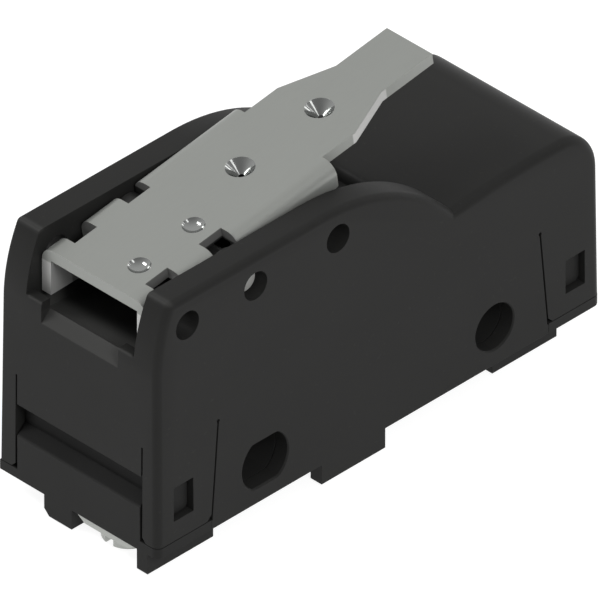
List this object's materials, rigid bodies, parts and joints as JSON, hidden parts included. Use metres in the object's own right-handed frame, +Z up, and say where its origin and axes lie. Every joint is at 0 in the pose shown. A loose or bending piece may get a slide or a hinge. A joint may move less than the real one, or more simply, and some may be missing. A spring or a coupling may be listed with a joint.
{
  "type": "snap-action micro switch with hinge lever",
  "caption": "Basic-size snap-action switch: black moulded housing with two cheeks round a folded steel hinge lever, cross mounting holes and screw terminals below.",
  "frame": {"origin": "below the middle of the housing, at the level of the feet it stands on", "axes": "+X along the housing towards the lever's free end, -Y towards the side with the three feet, +Z up from the terminals to the lever"},
  "size_m": [0.0492, 0.0176, 0.0289],
  "materials": {
    "housing_plastic": "fine matt moulded black",
    "base_plastic": "fine matt moulded black",
    "lever_steel": "satin rolled sheet",
    "pin_steel": "ground",
    "plunger_plastic": "smooth moulded black",
    "seal_rubber": "matt",
    "spring_copper": "rolled spring strip",
    "contact_silver": "satin silver",
    "terminal_brass": "stamped strip",
    "spring_steel": "drawn wire",
    "screw_steel": "zinc plated"
  },
  "bodies": {
    "housing": {"housing_cover": "housing_plastic", "base": "base_plastic", "pivot_pin": "pin_steel", "plunger_seal": "seal_rubber", "open_contact": "contact_silver", "closed_contact": "contact_silver", "common_terminal": "terminal_brass", "open_terminal": "terminal_brass", "closed_terminal": "terminal_brass", "blade_anchor": "terminal_brass", "anchor_rivet": "terminal_brass", "tension_spring": "spring_steel", "terminal_screw_common": "screw_steel", "terminal_screw_open": "screw_steel", "terminal_screw_closed": "screw_steel", "terminal_clamp_common": "screw_steel", "terminal_clamp_open": "screw_steel", "terminal_clamp_closed": "screw_steel"},
    "lever": {"actuating_lever": "lever_steel"},
    "plunger": {"plunger": "plunger_plastic"},
    "blade": {"contact_blade": "spring_copper", "moving_contact": "contact_silver"}
  },
  "joints": [
    {"name": "lever_hinge", "type": "hinge", "parent": "housing", "child": "lever", "pos_m": [-0.01354, 0, 0.0224], "axis": [0, 1, 0], "range_deg": [0, 8], "stiffness_Nm_per_rad": 0.13, "springref_deg": -5.16},
    {"name": "plunger_slide", "type": "slide", "parent": "housing", "child": "plunger", "axis": [0, 0, -1], "range_m": [0, 0.00066]},
    {"name": "blade_swing", "type": "hinge", "parent": "housing", "child": "blade", "pos_m": [-0.0203, 0, 0.01265], "axis": [0, 1, 0], "range_deg": [0, 3.5], "deforming": ["tension_spring"]}
  ],
  "couplings": [
    {"joint": "plunger_slide", "follows": "lever_hinge", "m_per_rad": 0.0042},
    {"joint": "blade_swing", "follows": "lever_hinge", "ratio": 0.3889}
  ]
}
